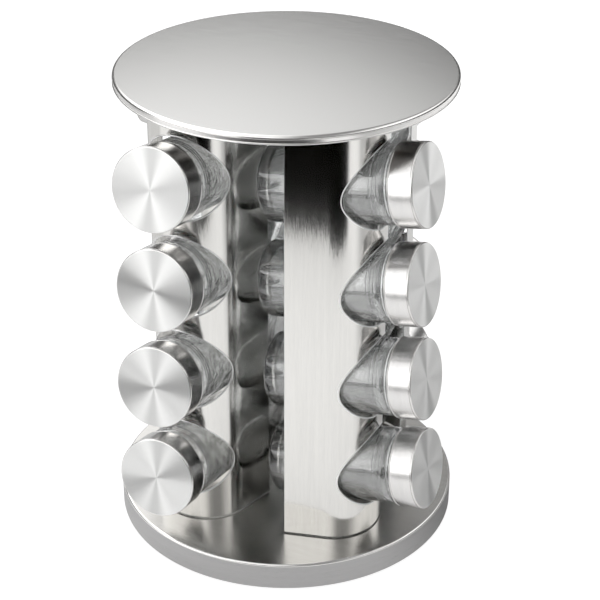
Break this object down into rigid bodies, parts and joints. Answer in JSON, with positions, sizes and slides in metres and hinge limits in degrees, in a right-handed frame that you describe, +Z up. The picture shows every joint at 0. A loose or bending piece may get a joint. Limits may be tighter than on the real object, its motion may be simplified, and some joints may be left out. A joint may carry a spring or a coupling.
{
  "type": "revolving spice rack",
  "caption": "Round countertop carousel of brushed steel with four bent-sheet towers whose holes hold tilted screw-cap glass jars.",
  "frame": {"origin": "on the turning axis at table height, under the middle of the rack", "axes": "+Z up along the turning axis; +X is the way the nose of tower a points, +Y the nose of tower b"},
  "size_m": [0.2146, 0.2196, 0.2785],
  "materials": {
    "satin_steel": "fine satin stainless sheet",
    "tower_steel": "vertically brushed stainless sheet",
    "base_steel": "spun satin stainless sheet",
    "cap_steel": "radially spun face, polished side",
    "screw_steel": "plated screws and nuts",
    "clear_glass": "clear pressed glass with a thick floor",
    "sifter_plastic": "moulded white plastic",
    "turntable_plastic": "moulded black plastic",
    "cage_plastic": "smooth white plastic cage and balls",
    "rubber": "soft black rubber"
  },
  "bodies": {
    "turntable_foot": {"foot_plate": "turntable_plastic", "rubber_feet": "rubber"},
    "carousel": {"base_pan": "base_steel", "bearing_ring": "turntable_plastic", "top_pan": "satin_steel", "top_cover": "satin_steel", "tower_fasteners": "screw_steel", "tower_a": "tower_steel", "tower_b": "tower_steel", "tower_c": "tower_steel", "tower_d": "tower_steel"},
    "ball_cage": {"ball_cage": "cage_plastic"},
    "jar_a1": {"glass_jar_a1": "clear_glass", "sifter_a1": "sifter_plastic"},
    "cap_a1": {"cap_a1": "cap_steel"},
    "jar_a2": {"glass_jar_a2": "clear_glass", "sifter_a2": "sifter_plastic"},
    "cap_a2": {"cap_a2": "cap_steel"},
    "jar_a3": {"glass_jar_a3": "clear_glass", "sifter_a3": "sifter_plastic"},
    "cap_a3": {"cap_a3": "cap_steel"},
    "jar_a4": {"glass_jar_a4": "clear_glass", "sifter_a4": "sifter_plastic"},
    "cap_a4": {"cap_a4": "cap_steel"},
    "jar_b1": {"glass_jar_b1": "clear_glass", "sifter_b1": "sifter_plastic"},
    "cap_b1": {"cap_b1": "cap_steel"},
    "jar_b2": {"glass_jar_b2": "clear_glass", "sifter_b2": "sifter_plastic"},
    "cap_b2": {"cap_b2": "cap_steel"},
    "jar_b3": {"glass_jar_b3": "clear_glass", "sifter_b3": "sifter_plastic"},
    "cap_b3": {"cap_b3": "cap_steel"},
    "jar_b4": {"glass_jar_b4": "clear_glass", "sifter_b4": "sifter_plastic"},
    "cap_b4": {"cap_b4": "cap_steel"},
    "jar_c1": {"glass_jar_c1": "clear_glass", "sifter_c1": "sifter_plastic"},
    "cap_c1": {"cap_c1": "cap_steel"},
    "jar_c2": {"glass_jar_c2": "clear_glass", "sifter_c2": "sifter_plastic"},
    "cap_c2": {"cap_c2": "cap_steel"},
    "jar_c3": {"glass_jar_c3": "clear_glass", "sifter_c3": "sifter_plastic"},
    "cap_c3": {"cap_c3": "cap_steel"},
    "jar_c4": {"glass_jar_c4": "clear_glass", "sifter_c4": "sifter_plastic"},
    "cap_c4": {"cap_c4": "cap_steel"},
    "jar_d1": {"glass_jar_d1": "clear_glass", "sifter_d1": "sifter_plastic"},
    "cap_d1": {"cap_d1": "cap_steel"},
    "jar_d2": {"glass_jar_d2": "clear_glass", "sifter_d2": "sifter_plastic"},
    "cap_d2": {"cap_d2": "cap_steel"},
    "jar_d3": {"glass_jar_d3": "clear_glass", "sifter_d3": "sifter_plastic"},
    "cap_d3": {"cap_d3": "cap_steel"},
    "jar_d4": {"glass_jar_d4": "clear_glass", "sifter_d4": "sifter_plastic"},
    "cap_d4": {"cap_d4": "cap_steel"}
  },
  "joints": [
    {"name": "carousel_spin", "type": "hinge", "parent": "turntable_foot", "child": "carousel", "pos_m": [0, 0, 0.0052], "axis": [0, 0, 1], "continuous": true},
    {"name": "cage_spin", "type": "hinge", "parent": "turntable_foot", "child": "ball_cage", "pos_m": [0, 0, 0.0052], "axis": [0, 0, 1], "continuous": true},
    {"name": "jar_a1_slide", "type": "slide", "parent": "carousel", "child": "jar_a1", "axis": [0.9848, 0, 0.1736], "range_m": [0, 0.092]},
    {"name": "cap_a1_unscrew", "type": "hinge", "parent": "jar_a1", "child": "cap_a1", "pos_m": [0.097, -0.0305, 0.2402], "axis": [0.9848, 0, 0.1736], "range_deg": [0, 450]},
    {"name": "jar_a2_slide", "type": "slide", "parent": "carousel", "child": "jar_a2", "axis": [0.9848, 0, 0.1736], "range_m": [0, 0.092]},
    {"name": "cap_a2_unscrew", "type": "hinge", "parent": "jar_a2", "child": "cap_a2", "pos_m": [0.097, -0.0305, 0.1815], "axis": [0.9848, 0, 0.1736], "range_deg": [0, 450]},
    {"name": "jar_a3_slide", "type": "slide", "parent": "carousel", "child": "jar_a3", "axis": [0.9848, 0, 0.1736], "range_m": [-0.0035, 0.0885]},
    {"name": "cap_a3_unscrew", "type": "hinge", "parent": "jar_a3", "child": "cap_a3", "pos_m": [0.10045, -0.0305, 0.12341], "axis": [0.9848, 0, 0.1736], "range_deg": [0, 450]},
    {"name": "jar_a4_slide", "type": "slide", "parent": "carousel", "child": "jar_a4", "axis": [0.9848, 0, 0.1736], "range_m": [-0.0065, 0.0855]},
    {"name": "cap_a4_unscrew", "type": "hinge", "parent": "jar_a4", "child": "cap_a4", "pos_m": [0.1034, -0.0305, 0.06523], "axis": [0.9848, 0, 0.1736], "range_deg": [0, 450]},
    {"name": "jar_b1_slide", "type": "slide", "parent": "carousel", "child": "jar_b1", "axis": [0, 0.9848, 0.1736], "range_m": [-0.002, 0.09]},
    {"name": "cap_b1_unscrew", "type": "hinge", "parent": "jar_b1", "child": "cap_b1", "pos_m": [0.0305, 0.09897, 0.24055], "axis": [0, 0.9848, 0.1736], "range_deg": [0, 450]},
    {"name": "jar_b2_slide", "type": "slide", "parent": "carousel", "child": "jar_b2", "axis": [0, 0.9848, 0.1736], "range_m": [-0.009, 0.083]},
    {"name": "cap_b2_unscrew", "type": "hinge", "parent": "jar_b2", "child": "cap_b2", "pos_m": [0.0305, 0.10587, 0.18306], "axis": [0, 0.9848, 0.1736], "range_deg": [0, 450]},
    {"name": "jar_b3_slide", "type": "slide", "parent": "carousel", "child": "jar_b3", "axis": [0, 0.9848, 0.1736], "range_m": [-0.001, 0.091]},
    {"name": "cap_b3_unscrew", "type": "hinge", "parent": "jar_b3", "child": "cap_b3", "pos_m": [0.0305, 0.09799, 0.12297], "axis": [0, 0.9848, 0.1736], "range_deg": [0, 450]},
    {"name": "jar_b4_slide", "type": "slide", "parent": "carousel", "child": "jar_b4", "axis": [0, 0.9848, 0.1736], "range_m": [-0.004, 0.088]},
    {"name": "cap_b4_unscrew", "type": "hinge", "parent": "jar_b4", "child": "cap_b4", "pos_m": [0.0305, 0.10094, 0.0648], "axis": [0, 0.9848, 0.1736], "range_deg": [0, 450]},
    {"name": "jar_c1_slide", "type": "slide", "parent": "carousel", "child": "jar_c1", "axis": [-0.9848, 0, 0.1736], "range_m": [-0.0035, 0.0885]},
    {"name": "cap_c1_unscrew", "type": "hinge", "parent": "jar_c1", "child": "cap_c1", "pos_m": [-0.10045, 0.0305, 0.24081], "axis": [-0.9848, 0, 0.1736], "range_deg": [0, 450]},
    {"name": "jar_c2_slide", "type": "slide", "parent": "carousel", "child": "jar_c2", "axis": [-0.9848, 0, 0.1736], "range_m": [-0.0005, 0.0915]},
    {"name": "cap_c2_unscrew", "type": "hinge", "parent": "jar_c2", "child": "cap_c2", "pos_m": [-0.09749, 0.0305, 0.18159], "axis": [-0.9848, 0, 0.1736], "range_deg": [0, 450]},
    {"name": "jar_c3_slide", "type": "slide", "parent": "carousel", "child": "jar_c3", "axis": [-0.9848, 0, 0.1736], "range_m": [-0.0065, 0.0855]},
    {"name": "cap_c3_unscrew", "type": "hinge", "parent": "jar_c3", "child": "cap_c3", "pos_m": [-0.1034, 0.0305, 0.12393], "axis": [-0.9848, 0, 0.1736], "range_deg": [0, 450]},
    {"name": "jar_c4_slide", "type": "slide", "parent": "carousel", "child": "jar_c4", "axis": [-0.9848, 0, 0.1736], "range_m": [-0.002, 0.09]},
    {"name": "cap_c4_unscrew", "type": "hinge", "parent": "jar_c4", "child": "cap_c4", "pos_m": [-0.09897, 0.0305, 0.06445], "axis": [-0.9848, 0, 0.1736], "range_deg": [0, 450]},
    {"name": "jar_d1_slide", "type": "slide", "parent": "carousel", "child": "jar_d1", "axis": [0, -0.9848, 0.1736], "range_m": [-0.003, 0.089]},
    {"name": "cap_d1_unscrew", "type": "hinge", "parent": "jar_d1", "child": "cap_d1", "pos_m": [-0.0305, -0.09996, 0.24072], "axis": [0, -0.9848, 0.1736], "range_deg": [0, 450]},
    {"name": "jar_d2_slide", "type": "slide", "parent": "carousel", "child": "jar_d2", "axis": [0, -0.9848, 0.1736], "range_m": [-0.0035, 0.0885]},
    {"name": "cap_d2_unscrew", "type": "hinge", "parent": "jar_d2", "child": "cap_d2", "pos_m": [-0.0305, -0.10045, 0.18211], "axis": [0, -0.9848, 0.1736], "range_deg": [0, 450]},
    {"name": "jar_d3_slide", "type": "slide", "parent": "carousel", "child": "jar_d3", "axis": [0, -0.9848, 0.1736], "range_m": [-0.0075, 0.0845]},
    {"name": "cap_d3_unscrew", "type": "hinge", "parent": "jar_d3", "child": "cap_d3", "pos_m": [-0.0305, -0.10439, 0.1241], "axis": [0, -0.9848, 0.1736], "range_deg": [0, 450]},
    {"name": "jar_d4_slide", "type": "slide", "parent": "carousel", "child": "jar_d4", "axis": [0, -0.9848, 0.1736], "range_m": [-0.009, 0.083]},
    {"name": "cap_d4_unscrew", "type": "hinge", "parent": "jar_d4", "child": "cap_d4", "pos_m": [-0.0305, -0.10587, 0.06566], "axis": [0, -0.9848, 0.1736], "range_deg": [0, 450]}
  ],
  "couplings": [
    {"joint": "cage_spin", "follows": "carousel_spin", "ratio": 0.5}
  ]
}
